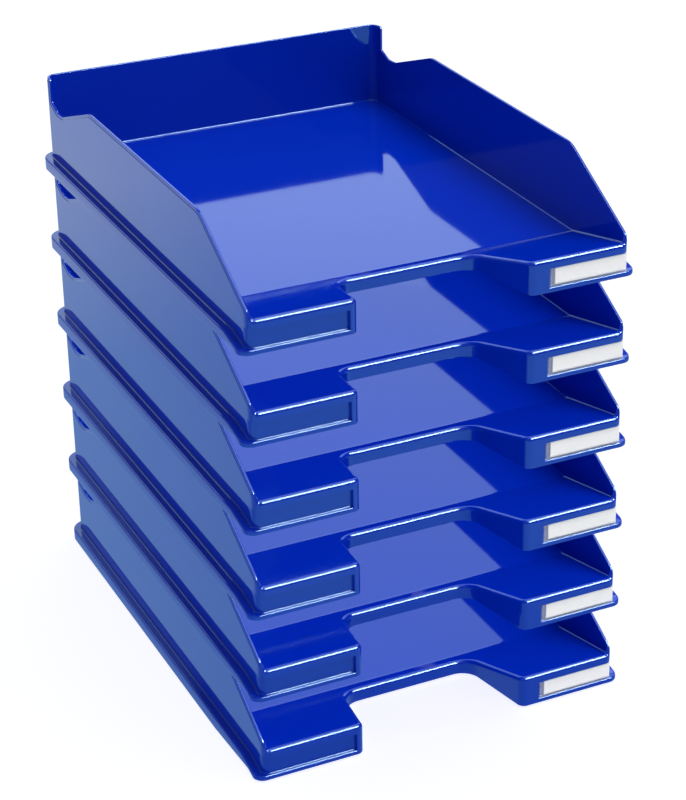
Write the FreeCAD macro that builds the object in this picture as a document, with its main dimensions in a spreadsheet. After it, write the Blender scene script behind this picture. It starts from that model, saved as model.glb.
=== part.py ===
import FreeCAD, Part
import os
import re

import Sketcher
from FreeCAD import Vector

# A stack of six identical letter trays for 24 x 32 cm paper.  Each tray is one injection
# moulding: floor, two side walls, a back wall, a ramp that rises to the front edge with a
# finger notch in it, and a ledge with a short skirt all round that locates it on the tray
# below.  A clear holder with a paper label sits in the right-hand recess of each front.
# Millimetres, +X right, +Y to the back, +Z up, origin under the middle of the stack.

TRAYS = 6

DIMENSIONS = {
    # whole tray
    "overall_width": 255.0,
    "overall_depth": 346.0,
    "stack_pitch": 57.0,
    "wall": 2.0,
    "ledge_width": 5.5,
    "back_ledge": 4.5,
    "ledge_top": 8.0,
    "front_corner": 5.5,
    "rear_corner": 7.5,
    "ledge_front_corner": 7.0,
    "ledge_rear_corner": 13.0,
    # ramp and front
    "ramp_foot": 63.0,
    "front_height": 22.5,
    "front_wall": 4.3,
    "front_base": 1.2,
    "front_edge_radius": 2.4,
    # outline of the side walls, seen from the side
    "slope_end": 3.0,
    "slope_end_height": 26.5,
    "slope_top": 69.7,
    "slope_rounding": 21.0,
    "dip_start": 253.6,
    "dip_rounding": 24.0,
    "dip_foot": 309.0,
    "dip_foot_height": 43.6,
    "dip_middle": 320.0,
    "dip_height": 42.8,
    "post_front": 331.0,
    "post_foot_height": 47.0,
    "post_rounding": 2.5,
    # finger notch, seen from above
    "notch_back": 53.0,
    "notch_half_back": 44.9,
    "notch_half_front": 55.5,
    "notch_rounding": 13.0,
    "nose_rounding": 5.0,
    # recesses in the front
    "recess_depth": 2.3,
    "recess_base": 4.2,
    "recess_top": 16.4,
    "left_recess_end": 60.0,
    "right_recess_end": 68.0,
    # skirt under the ledge, where it runs out at the front
    "skirt_kink": 67.0,
    "skirt_front": 14.0,
    "skirt_front_height": 3.4,
    "ledge_drop": 24.0,
    # clear label holder and its paper label
    "holder_left": 69.0,
    "holder_right": 120.4,
    "holder_gap": 0.15,
    "holder_face": 0.4,
    "holder_plate": 0.7,
    "holder_lip": 0.6,
    "holder_rail": 1.8,
    "holder_top_lip": 0.9,
    "holder_end": 3.0,
    "label_thickness": 0.3,
    "label_slack": 0.15,
}

DERIVED = {
    "floor_under": "=ledge_top - wall",
    "tray_height": "=stack_pitch + ledge_top - wall",
    "half_width": "=overall_width / 2",
    "wall_half": "=overall_width / 2 - ledge_width",
    "cavity_half": "=overall_width / 2 - ledge_width - wall",
    "back_face": "=overall_depth - back_ledge",
    "front_offset": "=-overall_depth / 2",
    "holder_base": "=recess_base + holder_gap",
    "holder_top": "=recess_top - holder_gap",
    "holder_back": "=recess_depth - holder_gap",
}

doc = FreeCAD.newDocument("letter_tray_stack")


def make_sheet():
    """The spreadsheet: driving dimensions first, then what follows from them."""
    sheet = doc.addObject("Spreadsheet::Sheet", "sizes")
    row = 1
    for alias, value in DIMENSIONS.items():
        sheet.set("A%d" % row, alias)
        sheet.set("B%d" % row, str(value))
        sheet.setAlias("B%d" % row, alias)
        row += 1
    for alias, formula in DERIVED.items():
        sheet.set("A%d" % row, alias)
        sheet.set("B%d" % row, formula)
        sheet.setAlias("B%d" % row, alias)
        row += 1
    doc.recompute()
    return sheet


sizes = make_sheet()


def size(alias):
    return float(sizes.get(alias))


def bound(expression):
    """Prefix every alias in an expression with the name of the sheet."""
    return re.sub(r"[a-z_]{2,}", lambda word: "sizes." + word.group(), expression)


def value_of(expression):
    """The number an expression of aliases comes to."""
    sizes.set("D1", "=" + expression)
    sizes.recompute()
    number = float(sizes.get("D1"))
    sizes.clear("D1")
    return number


def new_body(label):
    body = doc.addObject("PartDesign::Body", label)
    body.Label = label
    return body


def plane_of(body, role):
    for feature in body.Origin.OriginFeatures:
        if feature.Role == role:
            return feature
    raise ValueError(role)


def outline(body, name, role, corners, offset=None):
    """A closed sketch through corners, each one a pair of expressions."""
    sketch = body.newObject("Sketcher::SketchObject", name)
    sketch.AttachmentSupport = [(plane_of(body, role), "")]
    sketch.MapMode = "FlatFace"
    points = [Vector(value_of(u), value_of(v), 0) for u, v in corners]
    count = len(points)
    for i in range(count):
        sketch.addGeometry(Part.LineSegment(points[i], points[(i + 1) % count]), False)
    for i in range(count):
        sketch.addConstraint(Sketcher.Constraint("Coincident", i, 2, (i + 1) % count, 1))
    for i, (u, v) in enumerate(corners):
        for kind, expression, number in (("DistanceX", u, points[i].x), ("DistanceY", v, points[i].y)):
            index = sketch.addConstraint(Sketcher.Constraint(kind, -1, 1, i, 1, number))
            sketch.setExpression("Constraints[%d]" % index, bound(expression))
    if offset:
        sketch.setExpression("AttachmentOffset.Base.z", bound(offset))
    doc.recompute()
    return sketch


def pad(body, name, sketch, length, midplane=False):
    feature = body.newObject("PartDesign::Pad", name)
    feature.Profile = sketch
    feature.Midplane = midplane
    feature.setExpression("Length", bound(length))
    doc.recompute()
    return feature


def pocket(body, name, sketch, length, midplane=False, reverse=False):
    """Cut a sketch out of a body, and make sure that it really cut something."""
    before = body.Shape.Volume
    feature = body.newObject("PartDesign::Pocket", name)
    feature.Profile = sketch
    feature.Midplane = midplane
    feature.Reversed = reverse
    feature.setExpression("Length", bound(length))
    doc.recompute()
    if body.Shape.Volume > before - 1.0:
        raise RuntimeError("%s cuts nothing" % name)
    return feature


def edges_at(shape, direction, places):
    """Names of the straight edges along direction through places, None being anything."""
    names = []
    for number, edge in enumerate(shape.Edges, 1):
        if not isinstance(edge.Curve, Part.Line):
            continue
        ends = edge.Vertexes[-1].Point - edge.Vertexes[0].Point
        if abs(abs(ends.normalize().dot(direction)) - 1) > 1e-6:
            continue
        middle = edge.valueAt((edge.FirstParameter + edge.LastParameter) / 2)
        for place in places:
            misses = [abs(m - p) for m, p in zip(middle, place) if p is not None]
            if max(misses) < 0.05:
                names.append("Edge%d" % number)
    return names


def round_edges(body, name, radius, direction, places):
    base = body.Tip
    fillet = body.newObject("PartDesign::Fillet", name)
    fillet.Base = (base, edges_at(base.Shape, direction, places))
    fillet.setExpression("Radius", bound(radius))
    doc.recompute()
    return fillet


X = Vector(1, 0, 0)
Z = Vector(0, 0, 1)


def make_pan():
    """Side walls, back wall, floor and ramp, notched at the front."""
    body = new_body("pan")
    side = [
        ("0", "floor_under"),
        ("back_face", "floor_under"),
        ("back_face", "tray_height"),
        ("post_front", "tray_height"),
        ("post_front", "post_foot_height"),
        ("dip_middle", "dip_height"),
        ("dip_foot", "dip_foot_height"),
        ("dip_start", "tray_height"),
        ("slope_top", "tray_height"),
        ("slope_end", "slope_end_height"),
        ("0", "front_height"),
    ]
    pad(body, "wall_block", outline(body, "wall_outline", "YZ_Plane", side), "2 * wall_half", True)
    top = size("tray_height")
    round_edges(body, "slope_bend", "slope_rounding", X, [(None, size("slope_top"), top)])
    round_edges(body, "dip_bend", "dip_rounding", X, [(None, size("dip_start"), top)])
    round_edges(body, "post_bend", "post_rounding", X, [(None, size("post_front"), top)])
    dip = [(None, size("dip_middle"), size("dip_height"))]
    round_edges(body, "dip_curve", "dip_rounding", X, dip)
    half = size("wall_half")
    rear = [(sign * half, size("back_face"), None) for sign in (-1, 1)]
    round_edges(body, "rear_corners", "rear_corner", Z, rear)
    front = [(sign * half, 0, None) for sign in (-1, 1)]
    round_edges(body, "front_corners", "front_corner", Z, front)
    cavity = make_cavity()
    walls = combine("Cut", "walls_and_floor", body, cavity)
    return combine("Cut", "pan_shell", walls, make_ramp_hollow())


def make_cavity():
    """The space for the paper: above the floor and the ramp, open at the front and top."""
    body = new_body("cavity")
    space = [
        ("-10", "front_height + 10 * (front_height - ledge_top) / ramp_foot"),
        ("ramp_foot", "ledge_top"),
        ("back_face - wall", "ledge_top"),
        ("back_face - wall", "tray_height + 10"),
        ("-10", "tray_height + 10"),
    ]
    pad(body, "cavity_block", outline(body, "cavity_outline", "YZ_Plane", space), "2 * cavity_half", True)
    rear = size("back_face") - size("wall")
    corners = [(sign * size("cavity_half"), rear, None) for sign in (-1, 1)]
    round_edges(body, "cavity_corners", "rear_corner - wall", Z, corners)
    return body


def make_ramp_hollow():
    """The space under the ramp, which leaves the ramp one wall thick."""
    body = new_body("ramp_hollow")
    under = [
        ("front_wall", "floor_under - 5"),
        ("ramp_foot", "floor_under - 5"),
        ("ramp_foot", "floor_under"),
        ("front_wall", "floor_under + (front_height - ledge_top) * (1 - front_wall / ramp_foot)"),
    ]
    sketch = outline(body, "ramp_hollow_outline", "YZ_Plane", under)
    pad(body, "ramp_hollow_block", sketch, "2 * cavity_half", True)
    return body


def notch_corners(grow):
    """The notch outline from above; grow moves its sides and back outwards."""
    return [
        ("-notch_half_front - %s" % grow, "-10"),
        ("-notch_half_front - %s" % grow, "0"),
        ("-notch_half_back - %s" % grow, "notch_back + %s" % grow),
        ("notch_half_back + %s" % grow, "notch_back + %s" % grow),
        ("notch_half_front + %s" % grow, "0"),
        ("notch_half_front + %s" % grow, "-10"),
    ]


def notch_tool(name, grow, rounding):
    """A block of the notch's outline, taller than the tray's front."""
    body = new_body(name)
    sketch = outline(body, name + "_outline", "XY_Plane", notch_corners(grow), "-5")
    pad(body, name + "_block", sketch, "front_height + 20")
    back = size("notch_back") + value_of(grow)
    half = size("notch_half_back") + value_of(grow)
    round_edges(body, name + "_corners", rounding, Z, [(sign * half, back, None) for sign in (-1, 1)])
    return body


def make_front():
    """Front wall and the wall round the notch, up to the surface of the ramp."""
    body = new_body("front")
    plan = [
        ("-wall_half", "0"),
        ("wall_half", "0"),
        ("wall_half", "notch_back + wall"),
        ("-wall_half", "notch_back + wall"),
    ]
    sketch = outline(body, "front_outline", "XY_Plane", plan, "front_base")
    pad(body, "front_block", sketch, "front_height - front_base")
    corners = [(sign * size("wall_half"), 0, None) for sign in (-1, 1)]
    round_edges(body, "block_corners", "front_corner", Z, corners)
    above = [
        ("-10", "front_height + 10 * (front_height - ledge_top) / ramp_foot"),
        ("ramp_foot", "ledge_top"),
        ("ramp_foot", "front_height + 10"),
        ("-10", "front_height + 10"),
    ]
    pocket(body, "ramp_cut", outline(body, "ramp_outline", "YZ_Plane", above), "overall_width", True)
    return body


def box(name, corner, extent):
    """A block whose corner and extent are expressions."""
    block = doc.addObject("Part::Box", name)
    for axis, expression in zip("xyz", corner):
        block.setExpression("Placement.Base." + axis, bound(expression))
    for prop, expression in zip(("Length", "Width", "Height"), extent):
        block.setExpression(prop, bound(expression))
    doc.recompute()
    return block


def combine(kind, name, base, tool):
    result = doc.addObject("Part::" + kind, name)
    result.Base = base
    result.Tool = tool
    doc.recompute()
    return result


def make_ledge():
    """The ledge round the outside with its skirt; low at the front, where it is a lip."""
    body = new_body("ledge")
    plan = [
        ("-half_width", "0"),
        ("half_width", "0"),
        ("half_width", "overall_depth"),
        ("-half_width", "overall_depth"),
    ]
    pad(body, "ledge_block", outline(body, "ledge_outline", "XY_Plane", plan), "ledge_top")
    half = size("half_width")
    front = [(sign * half, 0, None) for sign in (-1, 1)]
    rear = [(sign * half, size("overall_depth"), None) for sign in (-1, 1)]
    round_edges(body, "ledge_front_corners", "ledge_front_corner", Z, front)
    round_edges(body, "ledge_rear_corners", "ledge_rear_corner", Z, rear)
    lower = [
        ("-5", "-5"),
        ("skirt_kink", "-5"),
        ("skirt_kink", "0"),
        ("skirt_front", "skirt_front_height"),
        ("5", "front_base"),
        ("-5", "front_base"),
    ]
    pocket(body, "skirt_rise", outline(body, "rise_outline", "YZ_Plane", lower), "300", True)
    upper = [
        ("-5", "recess_base"),
        ("4", "recess_base"),
        ("ledge_drop", "ledge_top"),
        ("ledge_drop", "ledge_top + 5"),
        ("-5", "ledge_top + 5"),
    ]
    pocket(body, "lip_cut", outline(body, "lip_outline", "YZ_Plane", upper), "300", True)
    skirted = combine("Cut", "ledge_and_skirt", body, make_skirt_hollow())
    opening = box("platform_opening", ("-cavity_half", "-5", "-5"),
                  ("2 * cavity_half", "ramp_foot + 5", "20"))
    return combine("Cut", "ledge_frame", skirted, opening)


def make_skirt_hollow():
    """The space under the floor, inside the skirt."""
    body = new_body("skirt_hollow")
    inside = [
        ("-half_width + wall", "wall"),
        ("half_width - wall", "wall"),
        ("half_width - wall", "overall_depth - wall"),
        ("-half_width + wall", "overall_depth - wall"),
    ]
    sketch = outline(body, "skirt_outline", "XY_Plane", inside, "-5")
    pad(body, "skirt_hollow_block", sketch, "floor_under + 5")
    half = size("half_width") - size("wall")
    rear = size("overall_depth") - size("wall")
    round_edges(body, "skirt_front_corners", "ledge_front_corner - wall", Z,
                [(sign * half, size("wall"), None) for sign in (-1, 1)])
    round_edges(body, "skirt_rear_corners", "ledge_rear_corner - wall", Z,
                [(sign * half, rear, None) for sign in (-1, 1)])
    return body


def fillet(name, base, radius, chosen):
    """Round the edges of base that chosen picks out."""
    result = doc.addObject("Part::Fillet", name)
    result.Base = base
    radius_mm = size(radius)
    numbers = [number for number, edge in enumerate(base.Shape.Edges, 1) if chosen(edge)]
    result.Edges = [(number, radius_mm, radius_mm) for number in numbers]
    doc.recompute()
    return result


def is_nose(edge):
    """True for the upright edges where the notch meets the front."""
    half = size("notch_half_front")
    return all(abs(abs(v.X) - half) < 0.05 and abs(v.Y) < 0.05 for v in edge.Vertexes)


def is_ramp_rim(edge):
    """True for the edges round the front and the notch that lie in the ramp's surface."""
    first, last = edge.FirstParameter, edge.LastParameter
    slope = (size("front_height") - size("ledge_top")) / size("ramp_foot")
    for step in range(5):
        point = edge.valueAt(first + (last - first) * step / 4)
        if abs(point.z - size("front_height") + slope * point.y) > 0.02:
            return False
        if point.y > size("notch_back") + 1:
            return False
    return True


def make_moulding():
    """One tray, its front lower edge at the origin."""
    notch = notch_tool("notch", "0", "notch_rounding")
    around = notch_tool("notch_outside", "wall", "notch_rounding + wall")
    inside = box("front_inside", ("-cavity_half", "front_wall", "-5"),
                 ("2 * cavity_half", "notch_back + 10", "front_height + 20"))
    hollow = combine("Cut", "front_hollow", inside, around)
    front = combine("Cut", "front_walls", make_front(), hollow)
    rim = combine("Fuse", "pan_and_front", make_pan(), front)
    shell = combine("Fuse", "shell", rim, make_ledge())
    open_shell = combine("Cut", "notched_shell", shell, notch)
    open_shell.Refine = True
    doc.recompute()
    nosed = fillet("rounded_noses", open_shell, "nose_rounding", is_nose)
    rounded = fillet("rounded_front", nosed, "front_edge_radius", is_ramp_rim)
    left = box("left_recess", ("-half_width - 5", "-5", "recess_base"),
               ("half_width + 5 - left_recess_end", "5 + recess_depth", "recess_top - recess_base"))
    right = box("right_recess", ("right_recess_end", "-5", "recess_base"),
                ("half_width + 5 - right_recess_end", "5 + recess_depth", "recess_top - recess_base"))
    one_recess = combine("Cut", "left_recessed", rounded, left)
    moulding = combine("Cut", "tray_moulding", one_recess, right)
    moulding.Refine = True
    doc.recompute()
    return moulding


def put(piece, level):
    """Place a piece in the tray at a level of the stack, 0 being the lowest."""
    piece.setExpression("Placement.Base.y", bound("front_offset"))
    piece.setExpression("Placement.Base.z", bound("%d * stack_pitch" % level))
    doc.recompute()


def make_tray(moulding, level):
    """A further moulding out of the same tool."""
    tray = new_body("tray_%d" % (level + 1))
    tray.BaseFeature = moulding
    put(tray, level)
    return tray


def make_holder(level):
    """Clear channel, open at its right-hand end, with lips that keep the label in."""
    holder = new_body("label_holder_%d" % (level + 1))
    channel = [
        ("holder_back", "holder_base"),
        ("holder_back", "holder_top"),
        ("holder_face", "holder_top"),
        ("holder_face", "holder_top - holder_top_lip"),
        ("holder_face + holder_lip", "holder_top - holder_top_lip"),
        ("holder_face + holder_lip", "holder_top - holder_top_lip / 2"),
        ("holder_back - holder_plate", "holder_top - holder_top_lip / 2"),
        ("holder_back - holder_plate", "holder_base + holder_rail / 2"),
        ("holder_face + holder_lip", "holder_base + holder_rail / 2"),
        ("holder_face + holder_lip", "holder_base + holder_rail"),
        ("holder_face", "holder_base + holder_rail"),
        ("holder_face", "holder_base"),
    ]
    name = "channel_%d" % (level + 1)
    sketch = outline(holder, name + "_outline", "YZ_Plane", channel, "holder_left")
    pad(holder, name, sketch, "holder_right - holder_left")
    stop = [
        ("holder_back", "holder_base"),
        ("holder_back", "holder_top"),
        ("holder_face", "holder_top"),
        ("holder_face", "holder_base"),
    ]
    name = "stop_%d" % (level + 1)
    pad(holder, name, outline(holder, name + "_outline", "YZ_Plane", stop, "holder_left"), "holder_end")
    put(holder, level)
    return holder


def make_label(level):
    """White card that slides into the holder from the right."""
    label = new_body("label_%d" % (level + 1))
    front = "holder_face + holder_lip + label_slack / 2"
    low = "holder_base + holder_rail / 2 + label_slack"
    high = "holder_top - holder_top_lip / 2 - label_slack"
    card = [
        (front, low),
        (front + " + label_thickness", low),
        (front + " + label_thickness", high),
        (front, high),
    ]
    name = "card_%d" % (level + 1)
    left = "holder_left + holder_end + label_slack"
    sketch = outline(label, name + "_outline", "YZ_Plane", card, left)
    pad(label, name, sketch, "holder_right - holder_left - holder_end - label_slack")
    put(label, level)
    return label


def check(pieces):
    """Stop if any feature has failed or any piece isn't one sound solid."""
    for feature in doc.Objects:
        if "Invalid" in feature.State or "Error" in feature.State:
            raise RuntimeError("%s has failed" % feature.Label)
    for piece in pieces:
        shape = piece.Shape
        if shape.isNull() or not shape.isValid() or len(shape.Solids) != 1:
            raise RuntimeError("%s isn't one sound solid" % piece.Label)


moulding = make_moulding()
pieces = []
for level in range(TRAYS):
    pieces.append(make_tray(moulding, level))
    pieces.append(make_holder(level))
    pieces.append(make_label(level))
doc.recompute()
check(pieces)

os.makedirs("parts", exist_ok=True)
for piece in pieces:
    piece.Shape.exportStep("parts/%s.step" % piece.Label)
    box_of = piece.Shape.BoundBox
    print("%-16s %10.1f mm3  x %.1f %.1f  y %.1f %.1f  z %.1f %.1f" % (
        piece.Label, piece.Shape.Volume, box_of.XMin, box_of.XMax,
        box_of.YMin, box_of.YMax, box_of.ZMin, box_of.ZMax))
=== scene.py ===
import math

import bpy
import numpy as np
from mathutils import Matrix


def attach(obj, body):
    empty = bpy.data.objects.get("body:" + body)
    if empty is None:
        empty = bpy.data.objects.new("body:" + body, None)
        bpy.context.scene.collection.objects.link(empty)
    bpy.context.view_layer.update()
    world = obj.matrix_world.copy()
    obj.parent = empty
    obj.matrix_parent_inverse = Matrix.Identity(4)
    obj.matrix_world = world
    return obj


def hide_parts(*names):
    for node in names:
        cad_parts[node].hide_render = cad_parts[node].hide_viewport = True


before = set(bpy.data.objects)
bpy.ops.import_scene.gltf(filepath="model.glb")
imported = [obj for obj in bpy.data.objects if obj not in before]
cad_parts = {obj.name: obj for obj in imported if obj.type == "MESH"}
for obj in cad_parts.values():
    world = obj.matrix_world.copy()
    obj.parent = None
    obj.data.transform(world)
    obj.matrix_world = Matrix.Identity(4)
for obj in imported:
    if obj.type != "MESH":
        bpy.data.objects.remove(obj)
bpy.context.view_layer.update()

# ---------------------------------------------------------------------------------------
# Camera: on a tall tripod in front of the stack's left-hand corner, looking down at it
# through a long lens, so that all six fronts and the left-hand side walls are seen.
# ---------------------------------------------------------------------------------------
CAMERA_PLACE = (-0.5541, -1.2372, 0.8274)
CAMERA_AZIMUTH = math.radians(24.66)
CAMERA_ELEVATION = math.radians(26.38)
CAMERA_ROLL = math.radians(-1.03)
CAMERA_LENS = 103.5

camera_data = bpy.data.cameras.new("camera")
camera_data.sensor_width = 36.0
camera_data.lens = CAMERA_LENS
camera_data.clip_start = 0.05
camera = bpy.data.objects.new("camera", camera_data)
camera.location = CAMERA_PLACE
camera.rotation_euler = (
    Matrix.Rotation(-CAMERA_AZIMUTH, 3, "Z")
    @ Matrix.Rotation(math.pi / 2 - CAMERA_ELEVATION, 3, "X")
    @ Matrix.Rotation(CAMERA_ROLL, 3, "Z")
).to_euler()
bpy.context.scene.collection.objects.link(camera)
bpy.context.scene.camera = camera

# ---------------------------------------------------------------------------------------
# Tray mouldings: each tray is one injection moulding in opaque, high-gloss blue
# polystyrene with walls 2 mm thick.  Floor, ramp, walls, ledge and skirt come out of the
# mould in one shot, so all of a tray is one closed skin with small rounded edges.
# ---------------------------------------------------------------------------------------
# Lengths are in millimetres: x from the middle, y back from the front face, z up from the
# foot of the tray's own skirt.  Plan outlines are drawn for the left half.
MM = 0.001
TRAYS = 6
PITCH = 57.0
DEPTH = 346.0
WALL = 2.0
HALF = 122.0
LEDGE_HALF = 127.5
BACK_FACE = 341.5
REAR_CENTRE = (114.5, 334.0)
REAR_RADIUS = 7.5
LEDGE_REAR_CENTRE = (114.5, 333.0)
LEDGE_REAR_RADIUS = 13.0
TOP = 63.0
FLOOR = 8.0
UNDER = 6.0
RAMP_FOOT = 63.0
FRONT_TOP = 22.5
FRONT_CORNER = 5.5
FRONT_BASE = 1.2
RECESS_DEPTH = 2.3
RECESS_BASE = 4.2
RECESS_TOP = 16.4
RECESS_ENDS = {-1: 60.0, 1: 68.0}
RECESS_CORNER = 5.0
LEDGE_CORNER = 7.0
HOLLOW_CORNER = 4.5
SKIRT_RADII = (10.0, 4.9)
NOSE_RADIUS = 5.0
NOSE_TANGENT = 4.11
NOTCH_BACK = 53.0
NOTCH_HALF_BACK = 44.9
NOTCH_HALF_FRONT = 55.5
NOTCH_HALF_WHOLE = 59.7
NOTCH_RADIUS = 13.0
NOTCH_TANGENT = 10.66
NOTCH_CENTRE = (-NOTCH_HALF_BACK + NOTCH_TANGENT, NOTCH_BACK - NOTCH_RADIUS)
LIP_WALL = 1.8
HOLLOW_INSET = 2.2
EDGE_RADIUS = 2.4
RIM_RADIUS = 0.4
BAND = 0.3
FLOOR_FILLET = 0.9
LEDGE_FILLET = 0.8
SKIRT_EDGE = 0.35
SLOPE = (FRONT_TOP - FLOOR) / RAMP_FOOT

# The side walls' outline from the side: (y, z, rounding) of each bend, front to back.
SIDE_BENDS = (
    (3.0, 26.5, 0.0),
    (69.7, TOP, 21.0),
    (253.6, TOP, 24.0),
    (309.0, 43.6, 14.0),
    (320.0, 42.8, 20.0),
    (331.0, 47.0, 0.8),
    (331.0, TOP, 2.5),
    (334.0, TOP, 0.0),
)
SIDE_FRONT = 10.0
RIM_CLIMB = 0.547
RIM_LEAN = 0.48
STRETCHED_FROM = 300.0
POST_FEET = (333.42, 334.0)

# How the skirt's foot and the ledge's top rise and fall along the side.
SKIRT_FOOT_Y = (0.0, 5.0, 14.0, 67.0)
SKIRT_FOOT_Z = (FRONT_BASE, FRONT_BASE, 3.4, 0.0)
LEDGE_TOP_Y = (4.0, 24.0)
LEDGE_TOP_Z = (RECESS_BASE, FLOOR)


def along(start, end, count):
    """Points on a straight line from start to end, both ends included."""
    share = np.linspace(0.0, 1.0, count)[:, None]
    return np.asarray(start, float) * (1 - share) + np.asarray(end, float) * share


def arc(centre, radius, angles):
    """Points on a circle: the centre plus the radius times (cosine, sine) of each angle."""
    return np.asarray(centre, float) + radius * np.stack([np.cos(angles), np.sin(angles)], 1)


def rounded(bends, steps=9):
    """A polyline whose bends become arcs that touch both straights they join.

    At a bend of turn a, an arc of radius r starts r tan(a / 2) before it.
    """
    bends = np.asarray(bends, float)
    line = [bends[0, :2]]
    for before, bend, after in zip(bends, bends[1:], bends[2:]):
        come = bend[:2] - before[:2]
        go = after[:2] - bend[:2]
        come, go = come / np.hypot(*come), go / np.hypot(*go)
        turn = math.atan2(come[0] * go[1] - come[1] * go[0], come @ go)
        start = bend[:2] - come * bend[2] * abs(math.tan(turn / 2))
        side = math.copysign(1.0, turn)
        centre = start + side * bend[2] * np.array([-come[1], come[0]])
        first = math.atan2(start[1] - centre[1], start[0] - centre[0])
        line.extend(arc(centre, bend[2], first + turn * np.linspace(0, 1, steps)))
    line.append(bends[-1, :2])
    return np.array(line)


def unit(vectors):
    """Vectors divided by their own lengths."""
    return vectors / np.linalg.norm(vectors, axis=-1, keepdims=True)


def side_stations():
    """Rim points (y, z), their outward direction in the plane of the wall, and the y of
    the foot below each.  Feet are the rim's own y, but from STRETCHED_FROM back they run
    ahead of it, and those of the post's upright edge are spread between POST_FEET."""
    rim = rounded(SIDE_BENDS)
    extra = np.array([SIDE_FRONT, 14.0, 19.0, 24.0, 40.0, 62.2, RAMP_FOOT, 63.8, 67.0, 90.0,
                      130.0, 170.0, 210.0, 270.0, 290.0, STRETCHED_FROM])
    gentle = rim[rim[:, 0] < STRETCHED_FROM]
    heights = np.interp(extra, rim[:, 0], rim[:, 1])
    front = np.concatenate([gentle, np.stack([extra, heights], 1)])
    front = front[np.argsort(front[:, 0])]
    front = front[front[:, 0] >= SIDE_FRONT]
    apart = np.concatenate([[True], np.diff(front[:, 0]) > 0.3])
    crease = np.isclose(front[:, 0], RAMP_FOOT)
    line = np.concatenate([front[apart | crease], rim[rim[:, 0] >= STRETCHED_FROM]])
    steps = np.hypot(*np.diff(line, axis=0).T)
    keep = np.concatenate([[True], steps > 0.02])
    line = line[keep]
    steps = np.hypot(*np.diff(line, axis=0).T)
    tangents = unit(np.diff(line, axis=0))
    tangents = unit(np.concatenate([tangents[:1], tangents[1:] + tangents[:-1], tangents[-1:]]))
    outward = np.stack([-tangents[:, 1], tangents[:, 0]], 1)
    length = np.concatenate([[0.0], np.cumsum(steps)])
    post = int(np.argmax(line[:, 0] > SIDE_BENDS[-3][0] - 0.001))
    edge = line[post, 0]
    climb = (length - length[post]) / (length[-1] - length[post])
    foot = np.interp(line[:, 0], [0.0, STRETCHED_FROM, edge], [0.0, STRETCHED_FROM, POST_FEET[0]])
    foot[post:] = POST_FEET[0] + climb[post:] * (POST_FEET[1] - POST_FEET[0])
    return line, outward, foot


def ramp_height(y):
    """Floor level, which rises evenly from the crease to the front edge."""
    return FLOOR + SLOPE * np.maximum(RAMP_FOOT - y, 0.0)


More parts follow.
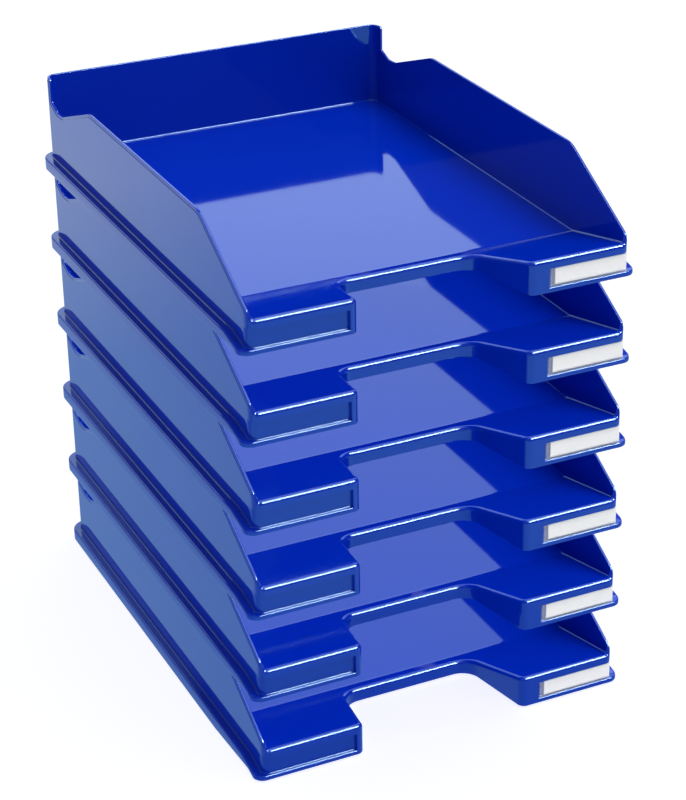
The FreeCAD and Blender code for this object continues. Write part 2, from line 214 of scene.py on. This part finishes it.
def half_outline(recess_end):
    """Stations down the left half of a tray, from the middle of the back round the left
    side to the middle of the notch.  Each one has the plan position of the outer face at
    the rim and at its foot, the recessed face, the ledge's edge, the skirt's inside and
    the hollow under the ramp, its outward direction, the rim height, the rim's own upward
    direction, and how far it is front rather than wall, from 0 to 1."""
    parts = []

    def add(rim, foot, recess, ledge, skirt, hollow, outward, height, upward, front):
        count = len(rim)
        parts.append(dict(
            rim=rim, foot=foot, recess=recess, ledge=ledge, skirt=skirt, hollow=hollow,
            outward=outward, height=np.broadcast_to(np.asarray(height, float), count),
            upward=upward, front=np.broadcast_to(np.asarray(front, float), count)))

    def level(count):
        """Straight up, for a rim that is level."""
        return np.tile([0.0, 0.0, 1.0], (count, 1))

    # back wall
    x = np.array([0.0, -40.0, -80.0, -113.0, -114.0])
    wall = np.stack([x, np.full(5, BACK_FACE)], 1)
    add(wall, wall, wall, wall + [0, DEPTH - BACK_FACE], wall + [0, DEPTH - BACK_FACE - WALL],
        wall - [0, WALL], np.tile([0.0, 1.0], (5, 1)), TOP, level(5), 0.0)

    # rear corner, a quarter turn
    turn = np.radians(np.linspace(90, 180, 11))
    centre = (-REAR_CENTRE[0], REAR_CENTRE[1])
    ledge_centre = (-LEDGE_REAR_CENTRE[0], LEDGE_REAR_CENTRE[1])
    wall = arc(centre, REAR_RADIUS, turn)
    add(wall, wall, wall, arc(ledge_centre, LEDGE_REAR_RADIUS, turn),
        arc(ledge_centre, LEDGE_REAR_RADIUS - WALL, turn), arc(centre, REAR_RADIUS - WALL, turn),
        arc((0, 0), 1.0, turn), TOP, level(11), 0.0)

    # side wall, back to front
    line, outward, foot = side_stations()
    line, outward, foot = line[::-1][1:], outward[::-1][1:], foot[::-1][1:]
    count = len(line)
    rim = np.stack([np.full(count, -HALF), line[:, 0]], 1)
    below = np.stack([np.full(count, -HALF), foot], 1)
    drawn = np.interp(foot, [0, STRETCHED_FROM, POST_FEET[1]],
                      [0, STRETCHED_FROM, LEDGE_REAR_CENTRE[1]])
    edge = np.stack([np.full(count, -LEDGE_HALF), drawn], 1)
    add(rim, below, below, edge, edge + [WALL, 0], below + [WALL, 0],
        np.tile([-1.0, 0.0], (count, 1)), line[:, 1],
        np.stack([np.zeros(count), outward[:, 0], outward[:, 1]], 1), 0.0)

    # front corner, where the wall runs out and the rounded front edge begins
    turn = np.radians(np.linspace(180, 270, 19))
    wall = arc((-HALF + FRONT_CORNER, FRONT_CORNER), FRONT_CORNER, turn)
    blend_from, blend_over = math.radians(198), math.radians(50)
    share = np.clip((turn - blend_from) / blend_over, 0, 1)
    front = share * share * (3 - 2 * share)
    centre = np.array([-HALF + WALL + HOLLOW_CORNER, 2 * HOLLOW_CORNER])
    skirt = centre + SKIRT_RADII * arc((0, 0), 1.0, turn)
    rim_start, rim_base = SIDE_BENDS[0][:2]
    tilt = np.interp(wall[:, 1], [rim_start, FRONT_CORNER], [0.0, -RIM_LEAN])
    upward = unit(np.stack([np.zeros(19), tilt, np.ones(19)], 1))
    recess = arc((-HALF + RECESS_CORNER, RECESS_DEPTH + RECESS_CORNER), RECESS_CORNER, turn)
    ledge = arc((-LEDGE_HALF + LEDGE_CORNER, LEDGE_CORNER), LEDGE_CORNER, turn)
    add(wall, wall, recess, ledge, skirt, arc(centre, HOLLOW_CORNER, turn),
        arc((0, 0), 1.0, turn), rim_base + RIM_CLIMB * (wall[:, 1] - rim_start), upward, front)

    # straight front, with the end of the recess cut square; a recess that ends close to
    # the nose leaves no room for the stations between them
    nose_x = -NOTCH_HALF_FRONT - NOSE_TANGENT
    x = np.array([-115.0, -100.0, -84.0, -recess_end - 0.6, -recess_end - 0.12, -recess_end,
                  -recess_end + 0.3])
    x = np.concatenate([x, [nose_x - 0.4]]) if recess_end > 62 else x[:-1]
    count = len(x)
    wall = np.stack([x, np.zeros(count)], 1)
    deep = np.where(x < -recess_end - 0.05, RECESS_DEPTH, 0.0)
    recess = np.stack([x, deep], 1)
    add(wall, wall, recess, wall, wall + [0, LIP_WALL + RECESS_DEPTH],
        wall + [0, HOLLOW_INSET + RECESS_DEPTH], np.tile([0.0, -1.0], (count, 1)), FRONT_TOP,
        level(count), 1.0)

    # nose, between the front and the notch
    side = unit(np.array([NOTCH_HALF_FRONT - NOTCH_HALF_BACK, NOTCH_BACK]))
    facing = math.atan2(-side[0], side[1])
    turn = np.linspace(-math.pi / 2, facing, 13)
    wall = arc((nose_x, NOSE_RADIUS), NOSE_RADIUS, turn)
    into = -arc((0, 0), 1.0, turn)
    thin = np.linspace(1, 0, 13)[:, None]
    add(wall, wall, wall, wall, wall + into * (LIP_WALL + RECESS_DEPTH * thin),
        wall + into * (HOLLOW_INSET + RECESS_DEPTH * thin), -into, FRONT_TOP, level(13), 1.0)

    def notch(wall, out):
        """Stations of the notch, with the lip's thickness and the hollow behind them."""
        add(wall, wall, wall, wall, wall - LIP_WALL * out, wall - HOLLOW_INSET * out, out,
            FRONT_TOP, level(len(wall)), 1.0)

    # side of the notch
    corner_start = arc(NOTCH_CENTRE, -NOTCH_RADIUS, np.array([facing]))[0]
    wall = along(wall[-1], corner_start, 7)[1:-1]
    notch(wall, np.tile(arc((0, 0), 1.0, np.array([facing])), (len(wall), 1)))

    # hollow corner of the notch
    turn = np.linspace(facing, -math.pi / 2, 15)
    out = arc((0, 0), 1.0, turn)
    notch(NOTCH_CENTRE - NOTCH_RADIUS * out, out)

    # back of the notch
    x = np.array([-33.8, -20.0, 0.0])
    notch(np.stack([x, np.full(3, NOTCH_BACK)], 1), np.tile([0.0, -1.0], (3, 1)))

    return {key: np.concatenate([part[key] for part in parts]) for key in parts[0]}


def whole_outline():
    """The left half, then the right half mirrored and run the other way."""
    left = half_outline(RECESS_ENDS[-1])
    right = half_outline(RECESS_ENDS[1])
    joined = {}
    for key, values in right.items():
        values = values[::-1][1:-1].copy()
        if values.ndim == 2:
            values[:, 0] *= -1
        joined[key] = np.concatenate([left[key], values])
    return joined


def spatial(plan, height):
    """Plan positions lifted to a height."""
    return np.concatenate([plan, np.broadcast_to(height, len(plan))[:, None]], 1)


def wall_rows(st):
    """Rows over a side or back wall, from the floor inside, up a small fillet and the
    inner face, over the rounded rim, to the foot of the bevelled band outside."""
    out = np.concatenate([st["outward"], np.zeros((len(st["rim"]), 1))], 1)
    up = st["upward"]
    rim = spatial(st["rim"], st["height"])
    inner = st["foot"] - WALL * st["outward"]
    rows = []
    for reach in (FLOOR_FILLET + 0.6, FLOOR_FILLET):
        plan = inner - reach * st["outward"]
        rows.append(spatial(plan, ramp_height(plan[:, 1])))
    for angle in np.radians([30, 60, 90]):
        plan = inner - FLOOR_FILLET * (1 - math.sin(angle)) * st["outward"]
        rise = FLOOR_FILLET * (1 - math.cos(angle))
        rows.append(spatial(plan, ramp_height(plan[:, 1]) + rise))
    rows.append(spatial(inner, ramp_height(inner[:, 1]) + FLOOR_FILLET + 0.5))
    rows.append(rim - WALL * out - (RIM_RADIUS + 0.4) * up)
    middle = rim - (WALL - RIM_RADIUS) * out - RIM_RADIUS * up
    for angle in np.radians([0, 30, 60, 90]):
        rows.append(middle + RIM_RADIUS * (math.sin(angle) * up - math.cos(angle) * out))
    middle = rim - (BAND + RIM_RADIUS) * out - RIM_RADIUS * up
    for angle in np.radians([0, 30, 60, 90]):
        rows.append(middle + RIM_RADIUS * (math.cos(angle) * up + math.sin(angle) * out))
    for reach, drop in ((BAND, 0.8), (BAND, 1.6), (0.2, 1.8), (0.0, 2.0), (0.0, 2.4)):
        rows.append(rim - reach * out - drop * up)
    return rows


def front_rows(st):
    """The same number of rows over the front and the notch: along the ramp, then round an
    arc from the ramp's own direction to the upright face, and a little way down it."""
    out = np.concatenate([st["outward"], np.zeros((len(st["rim"]), 1))], 1)
    surface = unit(np.array([0.0, SLOPE, 1.0]))
    lift = math.sqrt(1 + SLOPE * SLOPE)
    plan = st["rim"] - EDGE_RADIUS * st["outward"]
    centre = spatial(plan, ramp_height(plan[:, 1]) - EDGE_RADIUS * lift)
    between = np.arccos(np.clip(out @ surface, -1, 1))[:, None]
    rows = []
    for reach in (4.6, 4.4, 4.2, 4.0, 3.8, 3.65, 3.5, 3.35, 3.2, 3.1, 3.0):
        plan = st["rim"] - reach * st["outward"]
        rows.append(spatial(plan, ramp_height(plan[:, 1])))
    for share in np.linspace(0, 1, 7):
        direction = np.sin((1 - share) * between) * surface + np.sin(share * between) * out
        rows.append(centre + EDGE_RADIUS * direction / np.sin(between))
    for drop in (0.25, 0.5):
        rows.append(centre + EDGE_RADIUS * out - [0, 0, drop])
    return rows


def tray_rows(st):
    """All the rows of the skin: the inside and the rim, down the outer face past the
    recess, over the ledge, down the skirt, and back along the underside."""
    share = st["front"][:, None]
    rows = [(1 - share) * wall + share * front
            for wall, front in zip(wall_rows(st), front_rows(st), strict=True)]
    lowest = rows[-1][:, 2]
    edge_y = st["ledge"][:, 1]
    notched = (st["front"] > 0.999) & (np.abs(st["rim"][:, 0]) < NOTCH_HALF_WHOLE)
    skirt_foot = np.interp(edge_y, SKIRT_FOOT_Y, SKIRT_FOOT_Z)
    skirt_foot = np.where(notched, FRONT_BASE, skirt_foot)
    ledge_top = np.interp(edge_y, LEDGE_TOP_Y, LEDGE_TOP_Z)
    ledge_top = np.where(notched, RECESS_BASE, ledge_top)
    room = lowest - skirt_foot
    ledge_top = np.minimum(ledge_top, skirt_foot + 0.45 * room)
    over = np.minimum(RECESS_TOP, ledge_top + 0.82 * (lowest - ledge_top))
    gap = over - ledge_top

    rows.append(spatial(st["foot"], over + 0.05 * gap))
    rows.append(spatial(st["foot"], over))
    rows.append(spatial(st["recess"], over - 0.02 * gap))
    rows.append(spatial(st["recess"], over - 0.07 * gap))
    away = st["ledge"] - st["recess"]
    reach = np.linalg.norm(away, axis=1, keepdims=True)
    way = away / np.maximum(reach, 1e-6)
    fillet = np.minimum(LEDGE_FILLET, 0.3 * reach)
    rise = np.minimum(LEDGE_FILLET, 0.2 * gap)
    apart = np.where(reach[:, 0] > 1.0, 0.0, 0.03)
    rows.append(spatial(st["recess"], ledge_top + rise + 0.3))
    for angle in np.radians([0, 30, 60, 90]):
        plan = st["recess"] + fillet * (1 - math.cos(angle)) * way
        rows.append(spatial(plan, ledge_top + 3 * apart + rise * (1 - math.sin(angle))))
    corner = np.minimum(1.0, 0.35 * reach)
    rows.append(spatial(st["recess"] + 1.25 * fillet * way, ledge_top + 2 * apart))
    rows.append(spatial(st["ledge"] - 1.2 * corner * way, ledge_top + apart))
    for angle in np.radians([0, 30, 60, 90]):
        plan = st["ledge"] - corner * way * (1 - math.sin(angle))
        rows.append(spatial(plan, ledge_top - 0.9 * (1 - math.cos(angle))))
    rows.append(spatial(st["ledge"], skirt_foot + SKIRT_EDGE + 0.2))
    rows.append(spatial(st["ledge"], skirt_foot + SKIRT_EDGE))
    back = unit(st["skirt"] - st["ledge"])
    rows.append(spatial(st["ledge"] + 0.12 * back, skirt_foot + 0.1))
    rows.append(spatial(st["ledge"] + SKIRT_EDGE * back, skirt_foot))
    rows.append(spatial(st["skirt"] - SKIRT_EDGE * back, skirt_foot))
    rows.append(spatial(st["skirt"], skirt_foot + 0.2))
    ceiling = np.maximum(np.minimum(UNDER, ledge_top - WALL), skirt_foot + 0.6)
    rows.append(spatial(st["skirt"], ceiling - 0.15))
    rows.append(spatial(st["skirt"] + 0.15 * back, ceiling))
    hollow_top = ramp_height(st["hollow"][:, 1]) - WALL * math.sqrt(1 + SLOPE * SLOPE)
    hollow_top = np.where(st["hollow"][:, 1] >= RAMP_FOOT - 0.01, UNDER, hollow_top)
    hollow_top = np.maximum(hollow_top, ceiling)
    rows.append(spatial(st["hollow"] - 0.15 * back, ceiling))
    rows.append(spatial(st["hollow"], hollow_top))
    rows.append(spatial(st["hollow"] - 0.6 * st["outward"], hollow_top))
    return np.stack(rows)


def tray_mesh(name):
    """The skin as a closed band of quads, with the floor, ramp and underside as flat
    faces between the band's first and last rows, parted at the crease of the ramp."""
    stations = whole_outline()
    grid = tray_rows(stations)
    rows, count = grid.shape[:2]
    index = np.arange(rows * count).reshape(rows, count)
    following = np.roll(index, -1, axis=1)
    quads = np.stack([index[:-1], index[1:], following[1:], following[:-1]], -1).reshape(-1, 4)
    faces = [list(quad) for quad in quads.tolist()]
    feet = stations["foot"][:, 1]
    crease = np.flatnonzero(np.isclose(feet, RAMP_FOOT))
    left, right = sorted(crease)
    for row, flip in ((0, 1), (rows - 1, -1)):
        ring = index[row]
        front = ring[left:right + 1].tolist()
        back = np.concatenate([ring[right:], ring[:left + 1]]).tolist()
        faces.append(front[::flip])
        faces.append(back[::flip])
    mesh = bpy.data.meshes.new(name)
    mesh.from_pydata((grid.reshape(-1, 3) * MM).tolist(), [], faces)
    mesh.update()
    creases = {frozenset((int(index[row, left]), int(index[row, right]))) for row in (0, rows - 1)}
    return mesh, creases


def finish_mesh(mesh, creases=(), angle=36.0):
    """Smooth shading, sharp where faces meet at more than the angle and at the creases."""
    mesh.validate(clean_customdata=False)
    mesh.polygons.foreach_set("use_smooth", np.ones(len(mesh.polygons), bool))
    mesh.set_sharp_from_angle(angle=math.radians(angle))
    sharp = mesh.attributes["sharp_edge"] if "sharp_edge" in mesh.attributes else None
    if creases and sharp is not None:
        for edge in mesh.edges:
            if frozenset(edge.vertices) in creases:
                edge.use_edge_sharp = True
    mesh.update()


def enclosed(mesh):
    """Six times the volume that the faces enclose, positive when they point outwards."""
    mesh.calc_loop_triangles()
    corners = np.empty(len(mesh.loop_triangles) * 3, np.int32)
    mesh.loop_triangles.foreach_get("vertices", corners)
    places = np.empty(len(mesh.vertices) * 3)
    mesh.vertices.foreach_get("co", places)
    a, b, c = places.reshape(-1, 3)[corners.reshape(-1, 3)].transpose(1, 0, 2)
    return float(np.einsum("ij,ij->", a, np.cross(b, c)))


def shader(name):
    """A new material: its node tree, its Principled shader and a maker of linked nodes."""
    material = bpy.data.materials.new(name)
    material.use_nodes = True
    tree = material.node_tree
    principled = tree.nodes["Principled BSDF"]

    def node(kind, inputs=None, **settings):
        made = tree.nodes.new(kind)
        for key, value in settings.items():
            setattr(made, key, value)
        for key, value in (inputs or {}).items():
            if isinstance(value, bpy.types.NodeSocket):
                tree.links.new(value, made.inputs[key])
            else:
                made.inputs[key].default_value = value
        return made

    return material, principled, node, tree.links.new


def blue_plastic():
    """Glossy moulded plastic: an even deep blue with faint flow marks, a skin that is
    almost optically flat, and hair-fine handling scuffs that vary the gloss."""
    material, surface, node, link = shader("blue_plastic")
    place = node("ShaderNodeTexCoord").outputs["Object"]
    flow = node("ShaderNodeTexNoise", {"Vector": place, "Scale": 9.0, "Detail": 2.0})
    colour = node("ShaderNodeMix", {"Factor": flow.outputs["Fac"]}, data_type="RGBA")
    colour.inputs["A"].default_value = (0.0003, 0.0185, 0.385, 1)
    colour.inputs["B"].default_value = (0.0004, 0.0235, 0.440, 1)
    link(colour.outputs["Result"], surface.inputs["Base Color"])
    fine = node("ShaderNodeTexNoise", {"Vector": place, "Scale": 55.0, "Detail": 4.0})
    gloss = node("ShaderNodeMapRange",
                 {"Value": fine.outputs["Fac"], "To Min": 0.035, "To Max": 0.075})
    link(gloss.outputs["Result"], surface.inputs["Roughness"])
    wave = node("ShaderNodeTexNoise", {"Vector": place, "Scale": 6.0, "Detail": 1.0})
    bump = node("ShaderNodeBump",
                {"Height": wave.outputs["Fac"], "Strength": 0.12, "Distance": 0.0006})
    link(bump.outputs["Normal"], surface.inputs["Normal"])
    surface.inputs["IOR"].default_value = 1.56
    surface.inputs["Specular Tint"].default_value = (0.50, 0.80, 1.0, 1)
    return material


BLUE = blue_plastic()
trays = []
for number in range(1, TRAYS + 1):
    mesh, creases = tray_mesh("tray_%d_moulding" % number)
    if enclosed(mesh) < 0:
        mesh.flip_normals()
    shift = np.empty(len(mesh.vertices) * 3)
    mesh.vertices.foreach_get("co", shift)
    shift = shift.reshape(-1, 3) + [0.0, -DEPTH / 2 * MM, (number - 1) * PITCH * MM]
    mesh.vertices.foreach_set("co", shift.ravel())
    finish_mesh(mesh, creases)
    mesh.materials.append(BLUE)
    tray = bpy.data.objects.new("tray_%d_moulding" % number, mesh)
    bpy.context.scene.collection.objects.link(tray)
    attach(tray, "tray_%d" % number)
    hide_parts("tray_%d" % number)
    trays.append(tray)

# ---------------------------------------------------------------------------------------
# Label holders and labels: each holder is a clear polystyrene channel pressed into the
# right-hand recess of its tray and open at its right end, and each label is a plain
# white card that slides into it from there.
# ---------------------------------------------------------------------------------------


def clear_plastic():
    """Clear moulded plastic: a thin see-through body, clouded a little by the moulding
    flow, with rubbing marks drawn out along its length that dull the bright gloss."""
    material, surface, node, link = shader("clear_plastic")
    place = node("ShaderNodeTexCoord").outputs["Object"]
    flow = node("ShaderNodeTexNoise", {"Vector": place, "Scale": 140.0, "Detail": 2.0})
    colour = node("ShaderNodeMix", {"Factor": flow.outputs["Fac"]}, data_type="RGBA")
    colour.inputs["A"].default_value = (0.76, 0.81, 0.90, 1)
    colour.inputs["B"].default_value = (0.84, 0.87, 0.94, 1)
    link(colour.outputs["Result"], surface.inputs["Base Color"])
    drawn_out = node("ShaderNodeMapping", {"Vector": place, "Scale": (90.0, 1100.0, 1100.0)})
    rubbed = node("ShaderNodeTexNoise",
                  {"Vector": drawn_out.outputs["Vector"], "Scale": 1.0, "Detail": 4.0})
    gloss = node("ShaderNodeMapRange",
                 {"Value": rubbed.outputs["Fac"], "To Min": 0.05, "To Max": 0.14})
    link(gloss.outputs["Result"], surface.inputs["Roughness"])
    bump = node("ShaderNodeBump",
                {"Height": rubbed.outputs["Fac"], "Strength": 0.1, "Distance": 0.00005})
    link(bump.outputs["Normal"], surface.inputs["Normal"])
    surface.inputs["IOR"].default_value = 1.49
    surface.inputs["Alpha"].default_value = 0.22
    return material


def paper():
    """Uncoated white card: fine fibres that vary the white and roughen the surface."""
    material, surface, node, link = shader("label_card")
    place = node("ShaderNodeTexCoord").outputs["Object"]
    fibre = node("ShaderNodeTexNoise", {"Vector": place, "Scale": 900.0, "Detail": 3.0})
    colour = node("ShaderNodeMix", {"Factor": fibre.outputs["Fac"]}, data_type="RGBA")
    colour.inputs["A"].default_value = (0.92, 0.92, 0.93, 1)
    colour.inputs["B"].default_value = (0.97, 0.97, 0.975, 1)
    link(colour.outputs["Result"], surface.inputs["Base Color"])
    bump = node("ShaderNodeBump",
                {"Height": fibre.outputs["Fac"], "Strength": 0.2, "Distance": 0.0001})
    link(bump.outputs["Normal"], surface.inputs["Normal"])
    surface.inputs["Roughness"].default_value = 0.75
    return material


CLEAR = clear_plastic()
CARD = paper()
for number in range(1, TRAYS + 1):
    for node_name, material in (("label_holder_%d" % number, CLEAR), ("label_%d" % number, CARD)):
        node_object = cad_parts[node_name]
        node_object.data.materials.clear()
        node_object.data.materials.append(material)

# ---------------------------------------------------------------------------------------
# Studio: a white floor and surround; to rays mirrored off the trays the floor glows instead
# with a painted reflection, a bluish gradient from front to back.  Every tray has its own
# copy of each softbox, which lights that tray alone and is shaded by it alone, so each is
# lit as if it stood by itself and the lower floors are not lost in the dark under the trays
# above them.
# ---------------------------------------------------------------------------------------
floor_mesh = bpy.data.meshes.new("studio_floor")
FLOOR_HALF = 6.0
floor_mesh.from_pydata(
    [(FLOOR_HALF * x, FLOOR_HALF * y, 0) for x, y in ((-1, -1), (1, -1), (1, 1), (-1, 1))],
    [], [(0, 1, 2, 3)])
floor = bpy.data.objects.new("studio_floor", floor_mesh)
floor_material, floor_surface, floor_node, floor_link = shader("studio_floor")
floor_surface.inputs["Base Color"].default_value = (0.60, 0.60, 0.60, 1)
floor_surface.inputs["Roughness"].default_value = 0.8
floor_surface.inputs["Emission Color"].default_value = (1, 1, 1, 1)
floor_surface.inputs["Emission Strength"].default_value = 0.80
floor_place = floor_node("ShaderNodeTexCoord").outputs["Object"]
across = floor_node("ShaderNodeSeparateXYZ", {"Vector": floor_place})
depth = floor_node("ShaderNodeMapRange",
                   {"Value": across.outputs["Y"], "From Min": -1.0, "From Max": 1.0})
# Painted reflection: glossy rays that hit the floor see a glowing bluish gradient along its depth,
# not its white, so the trays' glossy surfaces mirror pale and dark bands that no lamp or object
# casts.
painted_reflection_ramp = floor_node("ShaderNodeValToRGB", {"Fac": depth.outputs["Result"]})
stops = painted_reflection_ramp.color_ramp.elements
stops[0].position, stops[0].color = 0.30, (0.62, 1.10, 1.00, 1)
stops[1].position, stops[1].color = 0.92, (0.80, 0.97, 1.05, 1)
for position, colour in ((0.42, (0.30, 0.55, 0.75, 1)), (0.72, (0.42, 0.68, 0.86, 1))):
    stops.new(position).color = colour
painted_reflection_glow = floor_node("ShaderNodeEmission", {"Color": painted_reflection_ramp.outputs["Color"], "Strength": 1.1})
ray = floor_node("ShaderNodeLightPath")
# Glossy rays get the painted reflection glow; all other rays get the plain white floor.
floor_or_painted_reflection = floor_node("ShaderNodeMixShader", {"Fac": ray.outputs["Is Glossy Ray"]})
floor_link(floor_surface.outputs["BSDF"], floor_or_painted_reflection.inputs[1])
floor_link(painted_reflection_glow.outputs["Emission"], floor_or_painted_reflection.inputs[2])
floor_output = floor_material.node_tree.nodes["Material Output"]
floor_link(floor_or_painted_reflection.outputs["Shader"], floor_output.inputs["Surface"])
floor_mesh.materials.append(floor_material)
bpy.context.scene.collection.objects.link(floor)

world = bpy.data.worlds.new("studio")
bpy.context.scene.world = world
world.use_nodes = True
world_nodes = world.node_tree.nodes
world_links = world.node_tree.links
AS_SEEN = ((1.0, 1.0, 1.0, 1), 1.05)
AS_MIRRORED = ((0.95, 0.97, 1.0, 1), 0.30)
AS_LIGHT = ((0.95, 0.97, 1.0, 1), 0.47)
backdrops = []
for colour, strength in (AS_SEEN, AS_MIRRORED, AS_LIGHT):
    background = world_nodes.new("ShaderNodeBackground")
    background.inputs["Color"].default_value = colour
    background.inputs["Strength"].default_value = strength
    backdrops.append(background.outputs["Background"])
path = world_nodes.new("ShaderNodeLightPath")
seen, in_gloss, surround = backdrops
for kind, background in (("Is Glossy Ray", in_gloss), ("Is Camera Ray", seen)):
    either = world_nodes.new("ShaderNodeMixShader")
    world_links.new(path.outputs[kind], either.inputs["Fac"])
    world_links.new(surround, either.inputs[1])
    world_links.new(background, either.inputs[2])
    surround = either.outputs["Shader"]
world_links.new(surround, world_nodes["World Output"].inputs["Surface"])

lit_groups = []
for number in range(1, TRAYS + 1):
    group = bpy.data.collections.new("lit_%d" % number)
    group.objects.link(trays[number - 1])
    for node_name in ("label_holder_%d" % number, "label_%d" % number):
        group.objects.link(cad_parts[node_name])
    lit_groups.append(group)


def softbox(name, place, aim, width, height, radiance, colour=(1, 1, 1), diffuse=True):
    """A rectangular area light at place, turned towards aim, of one even radiance: its
    power is pi times its area times the radiance.  One copy for each tray."""
    toward = np.asarray(aim, float) - np.asarray(place, float)
    yaw = math.atan2(toward[0], toward[1])
    pitch = math.atan2(toward[2], math.hypot(toward[0], toward[1]))
    for number, group in enumerate(lit_groups, 1):
        data = bpy.data.lights.new("%s_%d" % (name, number), "AREA")
        data.shape = "RECTANGLE"
        data.size = width
        data.size_y = height
        data.color = colour
        data.energy = math.pi * width * height * radiance
        light = bpy.data.objects.new(data.name, data)
        light.location = np.asarray(place) + [0, 0, (number - TRAYS) * PITCH * MM]
        light.rotation_euler = (math.pi / 2 + pitch, 0.0, -yaw)
        light.visible_camera = False
        light.visible_diffuse = diffuse
        light.light_linking.receiver_collection = group
        light.light_linking.blocker_collection = group
        bpy.context.scene.collection.objects.link(light)


softbox("backdrop", (0.95, 2.5, 1.75), (0, 0, 0.35), 4.4, 1.5, 1.5, (0.65, 0.84, 1.0))
softbox("overhead", (0.60, 0.10, 2.25), (0, -0.05, 0.30), 1.6, 1.4, 3.6)
softbox("key", (0.35, -0.75, 2.05), (0, -0.10, 0.30), 1.0, 0.6, 5.6)
softbox("edge_strip", (0.72, -1.02, 1.80), (0, -0.17, 0.32), 1.6, 0.75, 42.0, diffuse=False)

bpy.context.scene.view_settings.view_transform = "Standard"
bpy.context.scene.view_settings.look = "None"
